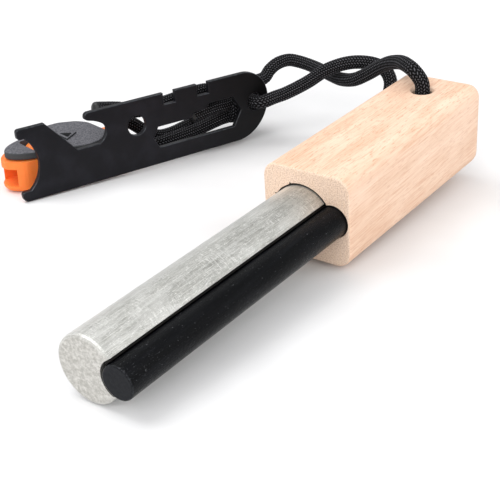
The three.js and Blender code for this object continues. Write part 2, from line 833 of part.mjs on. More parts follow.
function knotGeometry() {
  const radius = knotDiameter / 2;
  const half = knotLength / 2;
  const turned = new THREE.LatheGeometry([
    new THREE.Vector2(0, -half),
    new THREE.Vector2(radius - knotEndRound / 3, -half),
    new THREE.Vector2(radius, -half + knotEndRound),
    new THREE.Vector2(radius, half - knotEndRound),
    new THREE.Vector2(radius - knotEndRound / 3, half),
    new THREE.Vector2(0, half),
  ], roundSides / 2);
  turned.rotateZ(-quarterTurn);
  turned.translate(knotAcross, knotUp, -knotBehind);
  return turned;
}

// Assembly.
const part = new THREE.Group();
const whole = new THREE.Group();
const grip = new THREE.Group();
const rods = new THREE.Group();
const cords = new THREE.Group();
part.add(whole);
whole.add(grip, cords);
grip.add(rods);

function addMesh(group, name, geometry, surface) {
  const mesh = new THREE.Mesh(geometry, surface);
  mesh.name = name;
  group.add(mesh);
  return mesh;
}

function lowestPoint(object) {
  object.updateWorldMatrix(true, true);
  return new THREE.Box3().setFromObject(object, true).min.z;
}

addMesh(grip, 'handle', handleGeometry(), woodMaterial);
addMesh(rods, 'magnesium_rod', magnesiumGeometry(), magnesiumMaterial);
addMesh(rods, 'ferro_rod', ferroGeometry(), ferroMaterial);
addMesh(rods, 'seam_glue', seamGlueGeometry(), glueMaterial);
addMesh(rods, 'socket_glue', socketGlueGeometry(), glueMaterial);
rods.rotation.z = -THREE.MathUtils.degToRad(rodsSplayDegrees);
grip.rotation.y = THREE.MathUtils.degToRad(gripLeanDegrees);
grip.position.z = -lowestPoint(grip);

const cordInside = barAlongZ(cordDiameter / 2, -handleHeight / 2 + cordInset, handleHeight / 2 + cordProud);
cordInside.translate(cordHoleX, 0, 0);
addMesh(grip, 'cord_in_handle', cordInside, cordMaterial);

const striker = addMesh(whole, 'striker', strikerGeometry(), strikerMaterial);
striker.geometry.applyMatrix4(strikerFrame());
striker.geometry.translate(0, 0, -lowestPoint(striker));

const whistle = new THREE.Group();
whole.add(whistle);
addMesh(whistle, 'whistle_body', whistleBodyGeometry(), whistleMaterial);
addMesh(whistle, 'whistle_cover', coverGeometry(), coverMaterial);
whistle.applyMatrix4(whistleFrame());

// The middle of everything but the cord stands over the origin.
whole.updateWorldMatrix(true, true);
const box = new THREE.Box3();
whole.traverse((object) => {
  if (object.isMesh && !object.name.startsWith('cord')) box.expandByObject(object, true);
});
whole.position.set(-(box.min.x + box.max.x) / 2, -(box.min.y + box.max.y) / 2, 0);

addMesh(cords, 'cord_under_handle', cordGeometry(underHandleRoute), cordMaterial);
addMesh(cords, 'cord_top_strand', cordGeometry(topStrandRoute), cordMaterial);
addMesh(cords, 'cord_bottom_strand', cordGeometry(bottomStrandRoute), cordMaterial);
addMesh(cords, 'cord_whistle_loop', cordGeometry(whistleLoopRoute), cordMaterial);
addMesh(cords, 'cord_tail', cordGeometry(tailRoute), cordMaterial);
addMesh(cords, 'cord_second_tail', cordGeometry(secondTailRoute), cordMaterial);
const knot = addMesh(cords, 'cord_knot', knotGeometry(), cordMaterial);
knot.geometry.applyMatrix4(strikerFrame());

export default part;
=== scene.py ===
"""Looks of a fire starter: two rods in a wooden handle, tied by cord to a striker and a whistle.

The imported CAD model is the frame. Its solids keep their shape and get procedural materials here.
The cord and the ragged rim of glue round the rods are built here as meshes of their own.
Meshes are in metres, in the frame of the CAD model. Sizes and routes are written in mm.
"""

import logging
import math
import random
from abc import ABC, abstractmethod
from dataclasses import dataclass
from enum import Enum
from typing import NamedTuple

import bmesh
import bpy
from mathutils import Euler, Matrix, Vector


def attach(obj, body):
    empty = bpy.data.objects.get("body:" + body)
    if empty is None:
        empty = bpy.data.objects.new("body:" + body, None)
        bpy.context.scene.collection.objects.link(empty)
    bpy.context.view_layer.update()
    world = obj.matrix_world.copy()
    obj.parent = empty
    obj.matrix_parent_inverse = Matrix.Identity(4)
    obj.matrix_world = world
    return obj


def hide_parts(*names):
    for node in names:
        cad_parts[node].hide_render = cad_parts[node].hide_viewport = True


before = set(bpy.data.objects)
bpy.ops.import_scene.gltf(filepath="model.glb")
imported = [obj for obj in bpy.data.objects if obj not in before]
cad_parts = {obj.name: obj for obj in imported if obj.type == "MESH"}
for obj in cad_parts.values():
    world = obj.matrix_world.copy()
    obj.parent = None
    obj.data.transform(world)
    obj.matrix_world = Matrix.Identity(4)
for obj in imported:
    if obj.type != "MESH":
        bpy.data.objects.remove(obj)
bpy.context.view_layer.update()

logging.basicConfig(level=logging.INFO, format="%(levelname)s %(message)s")
LOG = logging.getLogger("fire_starter")

Triple = tuple[float, float, float]
Route = tuple[Triple, ...]
Socket = bpy.types.NodeSocket
Value = float | str | tuple[float, ...] | Socket

MM = 0.001
FULL_TURN = 2 * math.pi
WHITE = "ffffff"
UP = Vector((0.0, 0.0, 1.0))
# Outward normal of the striker's face, and the magnesium rod's upper side away from the ferro rod,
# which faces the key lamp and gets a painted highlight.
STRIKER_OUT = Vector((0.3424, 0.9394, 0.0174))
KEY_LIT_FLANK = Vector((0.0, -0.8, 0.6))
# Rigid body that all the pieces built here ride on.
GRIP = "grip"


class Slot(str, Enum):
    """What the pieces that are built here are made of."""

    CORD = "cord"
    GLUE = "glue"


class FarEnd(str, Enum):
    """What a run of cord ends in."""

    KNOT = "knot"
    BARE = "bare"


@dataclass(frozen=True)
class Axes:
    """Axes of a piece.

    Attributes:
        origin: Where their zero stands in the frame, in mm.
        lean: Their turn about +Y.
    """

    origin: Triple
    lean: float = 0.0

    def ahead(self) -> Vector:
        """Direction of their X axis."""
        return Vector((math.cos(self.lean), 0.0, -math.sin(self.lean)))

    def to_frame(self) -> Matrix:
        """Matrix from mm along these axes to metres in the frame."""
        place = Matrix.Translation(self.origin) @ Matrix.Rotation(self.lean, 4, "Y")
        return Matrix.Scale(MM, 4) @ place


FLOOR_AXES = Axes((0.0, 0.0, 0.0))
# The cord's routes start from these, and so do the patterns on all but the grip.
KIT_AXES = Axes((-1.6715, 45.5307, 0.0))
# The grip leans forward, because the cord under it lifts its back. X runs along the rods.
GRIP_AXES = Axes((-1.6715, 45.5307, 12.771), math.radians(3.4))


def srgb(code: str) -> tuple[float, float, float, float]:
    """Turns a hex colour into linear values.

    Args:
        code: Colour as six hex digits.

    Returns:
        Linear red, green, blue and alpha.
    """
    values = [int(code[i : i + 2], 16) / 255 for i in (0, 2, 4)]
    linear = [v / 12.92 if v <= 0.04045 else ((v + 0.055) / 1.055) ** 2.4 for v in values]
    return (linear[0], linear[1], linear[2], 1.0)


def even(size: float) -> Triple:
    """The same size along all three axes."""
    return (size, size, size)


@dataclass(frozen=True)
class Pattern:
    """A noise of real size.

    Attributes:
        size: Size of its features along X, Y and Z, in mm.
        detail: Octaves.
        rough: Strength of the finer octaves.
        warp: Distortion.
    """

    size: Triple
    detail: float = 3.0
    rough: float = 0.6
    warp: float = 0.0


@dataclass(frozen=True)
class Tint:
    """A colour that comes in where a mask is high.

    Attributes:
        colour: The colour, as hex digits.
        low: Mask up to which there is none of it.
        high: Mask from which it has its full share.
        share: Its full share.
    """

    colour: str
    low: float
    high: float
    share: float = 1.0


class Span(NamedTuple):
    """A smooth step, in the order of the ramp's sockets.

    Attributes:
        low: Mask up to which the result is start.
        high: Mask from which the result is end.
        start: First value.
        end: Last value.
    """

    low: float
    high: float
    start: float = 0.0
    end: float = 1.0


@dataclass(frozen=True)
class Recipe:
    """How a kind of node is added.

    Attributes:
        kind: Node type without its ShaderNode prefix.
        inputs: Input sockets, in the order in which their values are given.
        output: Output socket that holds the result.
        settings: Properties of the node and their values.
    """

    kind: str
    inputs: tuple[str | int, ...] = ()
    output: str | int = 0
    settings: tuple[tuple[str, str], ...] = ()


class Node(Enum):
    """Kinds of node that the finishes are made of."""

    PLACE = Recipe("TexCoord", (), "Object")
    NORMAL = Recipe("NewGeometry", (), "True Normal")
    CAMERA_RAY = Recipe("LightPath", (), "Is Camera Ray")
    YARN = Recipe("Attribute", (), "Fac", (("attribute_name", "yarn"),))
    MAPPING = Recipe("Mapping", ("Vector", "Location", "Rotation", "Scale"))
    X = Recipe("SeparateXYZ", (0,), "X")
    Y = Recipe("SeparateXYZ", (0,), "Y")
    Z = Recipe("SeparateXYZ", (0,), "Z")
    JOIN = Recipe("CombineXYZ", (0, 1, 2))
    STRETCH = Recipe("VectorMath", (0, 1), 0, (("operation", "MULTIPLY"),))
    DOT = Recipe("VectorMath", (0, 1), "Value", (("operation", "DOT_PRODUCT"),))
    LENGTH = Recipe("VectorMath", (0,), "Value", (("operation", "LENGTH"),))
    NOISE = Recipe("TexNoise", ("Vector", "Scale", "Detail", "Roughness", "Distortion"))
    RAMP = Recipe(
        "MapRange",
        ("Value", "From Min", "From Max", "To Min", "To Max"),
        0,
        (("interpolation_type", "SMOOTHSTEP"),),
    )
    BLEND = Recipe("Mix", (0, 6, 7), 2, (("data_type", "RGBA"),))
    SUM = Recipe("Math", (0, 1), 0, (("operation", "ADD"),))
    LESS = Recipe("Math", (0, 1), 0, (("operation", "SUBTRACT"),))
    TIMES = Recipe("Math", (0, 1), 0, (("operation", "MULTIPLY"),))
    SLOPE = Recipe("Math", (0, 1, 2), 0, (("operation", "MULTIPLY_ADD"),))
    LARGER = Recipe("Math", (0, 1), 0, (("operation", "MAXIMUM"),))
    SIZE = Recipe("Math", (0,), 0, (("operation", "ABSOLUTE"),))
    BUMP = Recipe("Bump", ("Height", "Distance", "Strength"))


class Shader:
    """A node material under construction."""

    def __init__(self, name: str) -> None:
        """Starts an empty material.

        Args:
            name: Name of the material.
        """
        self.material = bpy.data.materials.new(name)
        self.material.use_nodes = True
        self.tree = self.material.node_tree
        self.tree.nodes.clear()
        self.surface = self.tree.nodes.new("ShaderNodeBsdfPrincipled")
        output = self.tree.nodes.new("ShaderNodeOutputMaterial")
        self.tree.links.new(self.surface.outputs[0], output.inputs["Surface"])

    def add(self, node: Node, *values: Value) -> Socket:
        """Adds a node with its settings and links.

        Args:
            node: Kind of the node.
            *values: Constants, hex colours or output sockets, in the order of its recipe.

        Returns:
            The output socket that its recipe names.
        """
        recipe = node.value
        made = self.tree.nodes.new("ShaderNode" + recipe.kind)
        for name, setting in recipe.settings:
            setattr(made, name, setting)
        for key, value in zip(recipe.inputs, values):
            self.feed(made.inputs[key], value)
        return made.outputs[recipe.output]

    def feed(self, socket: Socket, value: Value) -> None:
        """Gives a socket a value or a link.

        Args:
            socket: Input socket.
            value: Constant, hex colour, or the output socket of another node.
        """
        if isinstance(value, Socket):
            self.tree.links.new(value, socket)
        else:
            socket.default_value = srgb(value) if isinstance(value, str) else value

    def place(self, axes: Axes) -> Socket:
        """Object coordinates in mm along a piece's axes.

        Args:
            axes: The piece's axes.

        Returns:
            Vector socket.
        """
        turn = (0.0, -axes.lean, 0.0)
        shift = Euler(turn).to_matrix() @ -Vector(axes.origin)
        return self.add(Node.MAPPING, self.add(Node.PLACE), tuple(shift), turn, even(1 / MM))

    def lay(self, place: Socket, *patterns: Pattern) -> list[Socket]:
        """Lays patterns over the surface.

        Args:
            place: Vector socket in mm.
            *patterns: The patterns.

        Returns:
            A value socket for each pattern.
        """
        laid = []
        for pattern in patterns:
            per_mm = tuple(1 / size for size in pattern.size)
            stretched = self.add(Node.STRETCH, place, per_mm)
            laid.append(
                self.add(Node.NOISE, stretched, 1.0, pattern.detail, pattern.rough, pattern.warp)
            )
        return laid

    def facing(self, direction: Vector) -> Socket:
        """How far the surface faces a direction, from -1 to 1.

        Args:
            direction: Unit direction in the frame.

        Returns:
            Value socket.
        """
        return self.add(Node.DOT, self.add(Node.NORMAL), tuple(direction))

    def tint(self, tone: Value, tint: Tint, mask: Socket, within: Socket | None = None) -> Socket:
        """Tints a tone where a mask is high.

        Args:
            tone: Hex colour or socket to start from.
            tint: The tint.
            mask: Value socket.
            within: A second mask that its share is multiplied by.

        Returns:
            Colour socket.
        """
        share = self.add(Node.RAMP, mask, tint.low, tint.high, 0.0, tint.share)
        if within is not None:
            share = self.add(Node.TIMES, share, within)
        return self.add(Node.BLEND, share, tone, tint.colour)

    def finish(self, **inputs: Value) -> bpy.types.Material:
        """Sets the surface's sockets.

        Args:
            **inputs: Socket name, with _ for a space, to a value, hex colour or socket.

        Returns:
            The material.
        """
        for name, value in inputs.items():
            self.feed(self.surface.inputs[name.replace("_", " ")], value)
        return self.material


class Finish(ABC):
    """What a surface is made of."""

    @abstractmethod
    def material(self) -> bpy.types.Material:
        """Makes the material.

        Returns:
            The material.
        """


@dataclass(frozen=True)
class SandedRubberwood(Finish):
    """Rubberwood, sawn across and sanded: pale and pink, with fine open pores along the grain."""

    early: str = "f0d1b8"
    # Broad bands of late wood.
    bands: Pattern = Pattern((33.3, 2.63, 2.63), 2.0, 0.5, 0.2)
    late: Tint = Tint("e5c0a4", 0.3, 0.72)
    # Bundles of fibres, under half a millimetre wide. Single ones are too fine to show.
    fibres: Pattern = Pattern((10.0, 0.435, 0.435), 4.0, 0.62, 0.1)
    fibre: Tint = Tint("d8a483", 0.42, 0.68, 0.62)
    patches: Pattern = Pattern((20.0, 8.33, 8.33), 2.0, 0.55)
    bright: Tint = Tint("f8dbc4", 0.45, 0.7, 0.45)
    # Open pores are short reddish dashes. They run out through the top and lie along the sides.
    # Real ones are some 0.2 mm wide, and are drawn wider so that they show.
    pores: Pattern = Pattern((2.38, 0.345, 0.345), 2.0, 0.5, 0.1)
    pore: Tint = Tint("c38865", 0.57, 0.68)
    cut_open: Span = Span(0.4, 0.9, 0.25, 0.6)
    # Cut fibres take more dirt, so the end grain is greyer, with fine dark dots.
    end: str = "f2d9c4"
    dots: Pattern = Pattern((1.0, 0.385, 0.294), 3.0, 0.7)
    dot: Tint = Tint("cbaa92", 0.4, 0.66)
    rays: Pattern = Pattern((10.0, 0.3125, 3.33), 2.0, 0.5)
    ray: Tint = Tint("e6c6a6", 0.45, 0.7, 0.4)
    turned: Span = Span(0.75, 0.95)
    # Rise of the grain for each mm along the handle.
    dive: float = 0.045
    gloss: Span = Span(0.3, 0.7, 0.5, 0.68)
    proud_fibres: float = 0.5
    relief: float = 0.06

    def material(self) -> bpy.types.Material:
        """Makes the wood.

        Returns:
            The material.
        """
        shader = Shader("sanded_rubberwood")
        place = shader.place(GRIP_AXES)
        # The grain runs along the handle and dives slightly through its sides.
        along = shader.add(Node.X, place)
        rise = shader.add(Node.SLOPE, along, self.dive, shader.add(Node.Z, place))
        grain = shader.add(Node.JOIN, along, shader.add(Node.Y, place), rise)
        bands, fibres, patches, pores, dots, rays = shader.lay(
            grain, self.bands, self.fibres, self.patches, self.pores, self.dots, self.rays
        )
        tone = shader.tint(self.early, self.late, bands)
        tone = shader.tint(tone, self.fibre, fibres)
        tone = shader.tint(tone, self.bright, patches)
        cut_open = shader.add(Node.RAMP, shader.facing(UP), *self.cut_open)
        tone = shader.tint(tone, self.pore, pores, cut_open)
        cut = shader.tint(self.end, self.dot, dots)
        cut = shader.tint(cut, self.ray, rays)
        ahead = shader.add(Node.SIZE, shader.facing(GRIP_AXES.ahead()))
        sunk = shader.add(Node.RAMP, pores, self.pore.low, self.pore.high)
        height = shader.add(Node.LESS, shader.add(Node.TIMES, fibres, self.proud_fibres), sunk)
        return shader.finish(
            Base_Color=shader.add(
                Node.BLEND, shader.add(Node.RAMP, ahead, *self.turned), tone, cut
            ),
            Roughness=shader.add(Node.RAMP, fibres, *self.gloss),
            Normal=shader.add(Node.BUMP, height, self.relief * MM, 0.5),
            IOR=1.5,
            Specular_IOR_Level=0.6,
        )


@dataclass(frozen=True)
class FiledMagnesium(Finish):
    """Bare magnesium, filed lengthwise: grey with bright marks, a painted highlight on the side
    that faces the key lamp, and a chalky sawn end.
    """

    metal: str = "bebeb9"
    patches: Pattern = Pattern((6.25, 2.94, 2.94), 6.0, 0.75, 0.4)
    dull: Tint = Tint("9f9f9a", 0.36, 0.66)
    # Marks of the file's teeth, about 0.25 mm apart.
    filing: Pattern = Pattern((11.1, 0.238, 0.238), 6.0, 0.7, 0.15)
    filed: Tint = Tint("e4e4e0", 0.45, 0.66, 0.6)
    # Areas where the file went over it again are brighter.
    again: Pattern = Pattern((16.7, 5.0, 5.0), 4.0, 0.6, 0.8)
    refiled: Tint = Tint("e0e0dd", 0.48, 0.6, 0.34)
    # Chatter of the file: short bright ticks across the rod, with pits between them.
    chatter: Pattern = Pattern((0.385, 2.0, 2.0), 4.0, 0.75, 0.5)
    tick: Tint = Tint("f6f6f3", 0.52, 0.62, 0.6)
    spread: Pattern = Pattern((8.33, 3.33, 3.33))
    ticked: Span = Span(0.46, 0.6)
    pit: Tint = Tint("8b8b87", 0.5, 0.62, 0.45)
    between: Span = Span(0.34, 0.44, 1.0, 0.0)
    # Single bright scratches are thin lines where a slow noise crosses its middle.
    scratches: Pattern = Pattern((1.43, 0.294, 0.556), 5.0, 0.78, 1.2)
    waves: tuple[Pattern, ...] = (
        Pattern((4.55, 0.588, 0.588), 3.0, 0.6, 0.1),
        Pattern((1.11, 0.667, 1.25), 3.0, 0.6, 0.7),
    )
    hairline: Span = Span(0.004, 0.016, 1.0, 0.0)
    line: Tint = Tint("fbfbf8", 0.42, 0.58, 0.75)
    scratch: Tint = Tint("f4f4f1", 0.58, 0.68, 0.7)
    specks: Pattern = Pattern(even(0.455), 3.0, 0.7)
    speck: Tint = Tint("8a8984", 0.66, 0.76, 0.55)
    # Within some 20 mm of the handle the metal is duller, with old glue in its scratches.
    near: Span = Span(12.0, 24.0, 1.0, 0.0)
    near_ragged: float = 14.0
    root: str = "8a8478"
    root_share: float = 0.16
    smudge: Tint = Tint("6f6b64", 0.5, 0.62, 0.6)
    # Painted highlight: the upper side away from the ferro rod, which faces the key lamp, is
    # painted lighter.
    painted_flank_highlight: Tint = Tint("efefec", 0.6, 0.98, 0.85)
    turned: Span = Span(0.85, 0.98)
    chalk: str = "d1cfca"
    bloom: Pattern = Pattern(even(0.833), 6.0, 0.7, 0.4)
    bloomed: Tint = Tint("a7a59f", 0.38, 0.64, 0.85)
    saw: Pattern = Pattern((1.0, 1.43, 0.294), 4.0, 0.7, 0.3)
    sawn: Tint = Tint("9e9b93", 0.45, 0.66, 0.5)
    chalk_speck: Tint = Tint("8d8a83", 0.56, 0.66, 0.45)
    metallic: Span = Span(0.0, 1.0, 0.82, 0.25)
    gloss: Span = Span(0.3, 0.7, 0.34, 0.5)
    end_dulled: float = 0.25
    scratch_depth: float = 0.8
    relief: float = 0.09

    def material(self) -> bpy.types.Material:
        """Makes the magnesium.

        Returns:
            The material.
        """
        shader = Shader("filed_magnesium")
        place = shader.place(GRIP_AXES)
        patches, filing, again, chatter, spread, scratches, specks, bloom, saw = shader.lay(
            place, self.patches, self.filing, self.again, self.chatter, self.spread,
            self.scratches, self.specks, self.bloom, self.saw,
        )
        tone = shader.tint(self.metal, self.dull, patches)
        tone = shader.tint(tone, self.filed, filing)
        tone = shader.tint(tone, self.refiled, again)
        tone = shader.tint(tone, self.tick, chatter, shader.add(Node.RAMP, spread, *self.ticked))
        tone = shader.tint(tone, self.pit, spread, shader.add(Node.RAMP, chatter, *self.between))
        hairlines = []
        for wave in shader.lay(place, *self.waves):
            off_middle = shader.add(Node.SIZE, shader.add(Node.LESS, wave, 0.5))
            hairlines.append(shader.add(Node.RAMP, off_middle, *self.hairline))
        tone = shader.tint(tone, self.line, scratches, shader.add(Node.LARGER, *hairlines))
        tone = shader.tint(tone, self.scratch, scratches)
        tone = shader.tint(tone, self.speck, specks)
        ragged = shader.add(Node.TIMES, patches, self.near_ragged)
        along = shader.add(Node.SUM, shader.add(Node.X, place), ragged)
        near = shader.add(Node.RAMP, along, *self.near)
        share = shader.add(Node.TIMES, near, self.root_share)
        tone = shader.add(Node.BLEND, share, tone, self.root)
        tone = shader.tint(tone, self.smudge, scratches, near)
        # Painted highlight on the side that faces the key lamp.
        tone = shader.tint(tone, self.painted_flank_highlight, shader.facing(KEY_LIT_FLANK))
        chalk = shader.tint(self.chalk, self.bloomed, bloom)
        chalk = shader.tint(chalk, self.sawn, saw)
        chalk = shader.tint(chalk, self.chalk_speck, specks)
        end = shader.add(Node.RAMP, shader.facing(GRIP_AXES.ahead()), *self.turned)
        gloss = shader.add(Node.RAMP, filing, *self.gloss)
        dulled = shader.add(Node.TIMES, end, self.end_dulled)
        scored = shader.add(Node.TIMES, scratches, self.scratch_depth)
        height = shader.add(Node.SUM, filing, scored)
        return shader.finish(
            Base_Color=shader.add(Node.BLEND, end, tone, chalk),
            Metallic=shader.add(Node.RAMP, end, *self.metallic),
            Roughness=shader.add(Node.SUM, gloss, dulled),
            Normal=shader.add(Node.BUMP, height, self.relief * MM, 0.7),
        )


@dataclass(frozen=True)
class LacqueredFerrocerium(Finish):
    """Ferrocerium dipped in black lacquer: dark and smooth with pale chips, and a bare matt end."""

    lacquer: str = "08090b"
    # Dried lacquer has a fine orange peel and a few runs along the rod.
    peel: Pattern = Pattern((1.25, 0.769, 0.769), 4.0)
    runs: Pattern = Pattern((16.7, 2.0, 2.0), 3.0, 0.5)
    run: Tint = Tint("101114", 0.4, 0.7)
    chips: Pattern = Pattern((0.833, 0.417, 0.417), 5.0, 0.8, 0.4)
    chip: Tint = Tint("8a8c90", 0.64, 0.7, 0.6)
    # More of the lacquer has chipped towards the tip, from 48 to 80 mm off the handle.
    tip: Span = Span(48.0, 80.0)
    tip_chips: Pattern = Pattern((1.11, 0.3125, 0.3125), 4.0, 0.75, 0.6)
    tip_chip: Tint = Tint("7c7e82", 0.6, 0.72, 0.42)
    bare: str = "232427"
    turned: Span = Span(0.9, 0.985)
    rim: Tint = Tint("585b60", 0.4, 0.6, 0.6)
    rim_from: Span = Span(0.3, 0.5)
    rim_to: Span = Span(0.85, 0.96, 1.0, 0.0)
    gloss: Span = Span(0.3, 0.7, 0.12, 0.28)
    end_dulled: float = 0.45
    relief: float = 0.12

    def material(self) -> bpy.types.Material:
        """Makes the lacquer and the bare end.

        Returns:
            The material.
        """
        shader = Shader("lacquered_ferrocerium")
        place = shader.place(GRIP_AXES)
        peel, runs, chips, tip_chips = shader.lay(
            place, self.peel, self.runs, self.chips, self.tip_chips
        )
        tone = shader.tint(self.lacquer, self.run, runs)
        tone = shader.tint(tone, self.chip, chips)
        tip = shader.add(Node.RAMP, shader.add(Node.X, place), *self.tip)
        tone = shader.tint(tone, self.tip_chip, tip_chips, tip)
        ahead = shader.facing(GRIP_AXES.ahead())
        end = shader.add(Node.RAMP, ahead, *self.turned)
        tone = shader.add(Node.BLEND, end, tone, self.bare)
        outside = shader.add(Node.RAMP, ahead, *self.rim_from)
        rim = shader.add(Node.TIMES, outside, shader.add(Node.RAMP, ahead, *self.rim_to))
        gloss = shader.add(Node.RAMP, peel, *self.gloss)
        dulled = shader.add(Node.TIMES, end, self.end_dulled)
        height = shader.add(Node.SUM, peel, chips)
        return shader.finish(
            Base_Color=shader.tint(tone, self.rim, chips, rim),
            Roughness=shader.add(Node.SUM, gloss, dulled),
            Normal=shader.add(Node.BUMP, height, self.relief * MM, 0.6),
            IOR=1.5,
            Specular_IOR_Level=0.07,
        )


@dataclass(frozen=True)
class CoatedSteel(Finish):
    """Stamped steel under a matt black coat: dark, with painted shade towards its cord-hole end,
    and edges rubbed brighter where they face up, partly real wear and partly a painted highlight.
    """

    coat: str = "101015"
    # The coat has a fine tooth of some 0.05 mm, drawn coarser so that it shows, and rubbed
    # patches that shine a little more.
    tooth: Pattern = Pattern(even(0.2))
    patches: Pattern = Pattern(even(5.56), 4.0)
    rubbed: Tint = Tint("18181e", 0.4, 0.7)
    # Painted shade: the coat is painted blacker towards the end with the cord hole, in mm along X.
    end_shade: str = "020203"
    end_shade_span: Span = Span(-68.0, -30.0, 0.9, 0.0)
    # Edges are neither wall nor face. Their worn edge colour goes only on those that face up, so it
    # is partly real wear and partly a painted highlight.
    edge: str = "484b50"
    off_wall: Span = Span(0.35, 0.5)
    off_face: Span = Span(0.86, 0.97, 1.0, 0.0)
    upward: Span = Span(0.1, 0.6)
    wear: Pattern = Pattern(even(1.11), 4.0, 0.7)
    worn: Span = Span(0.42, 0.62, 0.25, 1.0)
    gloss: Span = Span(0.35, 0.7, 0.42, 0.34)
    edge_polish: float = 0.15
    edge_metal: float = 0.3
    relief: float = 0.02

    def material(self) -> bpy.types.Material:
        """Makes the coated steel.

        Returns:
            The material.
        """
        shader = Shader("black_coated_steel")
        place = shader.place(KIT_AXES)
        tooth, patches, wear = shader.lay(place, self.tooth, self.patches, self.wear)
        tone = shader.tint(self.coat, self.rubbed, patches)
        # Painted shade: blacker towards the cord-hole end.
        end_shade = shader.add(Node.RAMP, shader.add(Node.X, place), *self.end_shade_span)
        tone = shader.add(Node.BLEND, end_shade, tone, self.end_shade)
        outward = shader.add(Node.SIZE, shader.facing(STRIKER_OUT))
        edge = shader.add(Node.RAMP, outward, *self.off_wall)
        # Facing up makes the edge colour partly a painted highlight.
        for mask, span in (
            (outward, self.off_face), (wear, self.worn), (shader.facing(UP), self.upward),
        ):
            edge = shader.add(Node.TIMES, edge, shader.add(Node.RAMP, mask, *span))
        gloss = shader.add(Node.RAMP, patches, *self.gloss)
        polish = shader.add(Node.TIMES, edge, self.edge_polish)
        return shader.finish(
            Base_Color=shader.add(Node.BLEND, edge, tone, self.edge),
            Roughness=shader.add(Node.LESS, gloss, polish),
            Metallic=shader.add(Node.TIMES, edge, self.edge_metal),
            Normal=shader.add(Node.BUMP, tooth, self.relief * MM, 0.5),
            Specular_IOR_Level=0.16,
        )


@dataclass(frozen=True)
class MouldedAbs(Finish):
    """ABS moulded against a spark-eroded steel: an even, finely grained skin.

    Attributes:
        name: Name of the material.
        dark: Colour in the hollows of its grain, as hex digits.
        light: Colour on top of its grain.
        side: Colour of its upright faces, which are not grained. On the grey cover it is darker
            than the top, as painted shade.
        skin: Its grain. The real one is about 0.1 mm, and is drawn coarser so that it shows.
        relief: Depth of the grain, in mm.
        gloss: Roughness from the hollows to the top of the grain.
        translucent: Share of the light that scatters inside it.
        scatter: How far such light goes, in mm.
        flow: Slow change of tone where the plastic flowed.
        flow_share: Share of the dark colour in it.
        upward: How far a face has to face up to be grained.
    """

    name: str
    dark: str
    light: Tint
    side: str
    skin: Pattern
    relief: float
    gloss: Span
    translucent: float = 0.0
    scatter: float = 1.2
    flow: Pattern = Pattern(even(8.33), 2.0, 0.5)
    flow_share: float = 0.25
    upward: Span = Span(0.3, 0.8)

    def material(self) -> bpy.types.Material:
        """Makes the plastic.

        Returns:
            The material.
        """
        shader = Shader(self.name)
        skin, flow = shader.lay(shader.place(KIT_AXES), self.skin, self.flow)
        top = shader.tint(self.dark, self.light, skin)
        top = shader.tint(top, Tint(self.dark, 0.4, 0.7, self.flow_share), flow)
        # Upright faces take the side colour, which on the grey cover is painted shade.
        upward = shader.add(Node.RAMP, shader.facing(UP), *self.upward)
        return shader.finish(
            Base_Color=shader.add(Node.BLEND, upward, self.side, top),
            Roughness=shader.add(Node.RAMP, skin, *self.gloss),
            Normal=shader.add(Node.BUMP, skin, self.relief * MM, 0.6),
            IOR=1.5,
            Specular_IOR_Level=0.18,
            Subsurface_Weight=self.translucent,
            Subsurface_Scale=self.scatter * MM,
            Subsurface_Radius=(1.0, 0.35, 0.1),
        )


ORANGE_ABS = MouldedAbs(
    "moulded_orange_abs",
    dark="fb8038",
    light=Tint("ff9050", 0.35, 0.65),
    side="ff8640",
    skin=Pattern(even(0.4)),
    relief=0.02,
    gloss=Span(0.3, 0.7, 0.5, 0.37),
    translucent=0.35,
)
GREY_ABS = MouldedAbs(
    "moulded_grey_abs",
    dark="48484d",
    light=Tint("737379", 0.35, 0.65),
    # Painted shade: the cover's upright faces are painted darker than its top.
    side="404244",
    skin=Pattern(even(0.476)),
    relief=0.1,
    gloss=Span(0.3, 0.7, 0.7, 0.57),
)


@dataclass(frozen=True)
class Lumpy(Finish):
    """Something that set from a liquid: dark, with a lumpy skin.

    Attributes:
        name: Name of the material.
        dark: Colour in its hollows, as hex digits.
        light: Colour on its lumps.
        lumps: The lumps.
        rough: Roughness.
        relief: Height of the lumps, in mm.
        strength: Weight of the lumps.
        specular: Strength of its reflections.
    """

    name: str
    dark: str
    light: Tint
    lumps: Pattern
    rough: float
    relief: float
    strength: float
    specular: float

    def material(self) -> bpy.types.Material:
        """Makes the set skin.

        Returns:
            The material.
        """
        shader = Shader(self.name)
        (lumps,) = shader.lay(shader.place(KIT_AXES), self.lumps)
        return shader.finish(
            Base_Color=shader.tint(self.dark, self.light, lumps),
            Roughness=self.rough,
            Normal=shader.add(Node.BUMP, lumps, self.relief * MM, self.strength),
            IOR=1.5,
            Specular_IOR_Level=self.specular,
        )


# Black epoxy that was squeezed out and set half matt.
SET_EPOXY = Lumpy(
    "set_epoxy", "0c0b0a", Tint("1c1815", 0.4, 0.65), Pattern(even(0.714)), 0.5, 0.12, 0.7, 0.15
)
# Nylon that was melted at the cord's cut ends and set glossy.
MELTED_NYLON = Lumpy(
    "melted_nylon", "070708", Tint("17181a", 0.4, 0.6), Pattern(even(0.556)), 0.3, 0.15, 0.8, 0.5
)


